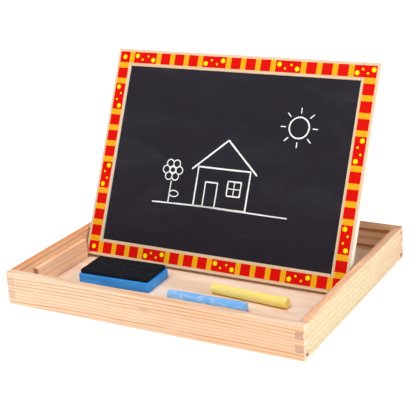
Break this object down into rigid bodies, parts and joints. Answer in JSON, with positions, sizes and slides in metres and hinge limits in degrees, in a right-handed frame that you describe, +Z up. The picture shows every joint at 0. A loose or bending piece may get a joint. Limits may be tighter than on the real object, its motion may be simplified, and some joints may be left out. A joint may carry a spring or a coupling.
{
  "type": "tabletop chalkboard easel",
  "caption": "Shallow finger-jointed wooden tray with a framed chalkboard leaning back in a slot, and an eraser and chalk lying in the tray.",
  "frame": {"origin": "centre of the tray's footprint, at the level it stands on", "axes": "+X along the front wall, +Y to the back, +Z up; the board faces -Y and leans back"},
  "size_m": [0.3, 0.235, 0.198],
  "materials": {
    "pine": "lightly sanded, unvarnished pine with long streaks of grain",
    "ledge_pine": "sanded pine, a little redder",
    "plywood": "smooth plywood",
    "printed_frame_wood": "pale wood printed with red blocks, orange bars and yellow dots, satin",
    "hardboard": "brown hardboard",
    "chalkboard": "matt black chalkboard coating on thin board",
    "whiteboard": "glossy white writing film on thin board",
    "eraser_blue": "blue foam block, satin",
    "felt": "black pressed felt",
    "chalk_yellow": "powdery yellow chalk",
    "chalk_blue": "powdery light blue chalk"
  },
  "bodies": {
    "tray": {"front_wall": "pine", "back_wall": "pine", "left_wall": "pine", "right_wall": "pine", "floor_panel": "plywood", "left_front_ledge": "ledge_pine", "left_rear_ledge": "ledge_pine", "right_front_ledge": "ledge_pine", "right_rear_ledge": "ledge_pine"},
    "board": {"board_top_rail": "printed_frame_wood", "board_bottom_rail": "printed_frame_wood", "board_left_stile": "printed_frame_wood", "board_right_stile": "printed_frame_wood", "board_core_panel": "hardboard", "chalkboard_face": "chalkboard", "whiteboard_face": "whiteboard"},
    "eraser": {"eraser_block": "eraser_blue", "eraser_felt": "felt"},
    "yellow_chalk": {"chalk_yellow": "chalk_yellow"},
    "blue_chalk": {"chalk_blue": "chalk_blue"}
  },
  "joints": [
    {"name": "board_lift", "type": "slide", "parent": "tray", "child": "board", "axis": [0, 0.4399, 0.898], "range_m": [0, 0.1]},
    {"name": "eraser_lift", "type": "slide", "parent": "tray", "child": "eraser", "axis": [0, 0, 1], "range_m": [0, 0.06]},
    {"name": "chalk_yellow_lift", "type": "slide", "parent": "tray", "child": "yellow_chalk", "axis": [0, 0, 1], "range_m": [0, 0.06]},
    {"name": "chalk_blue_lift", "type": "slide", "parent": "tray", "child": "blue_chalk", "axis": [0, 0, 1], "range_m": [0, 0.06]}
  ]
}
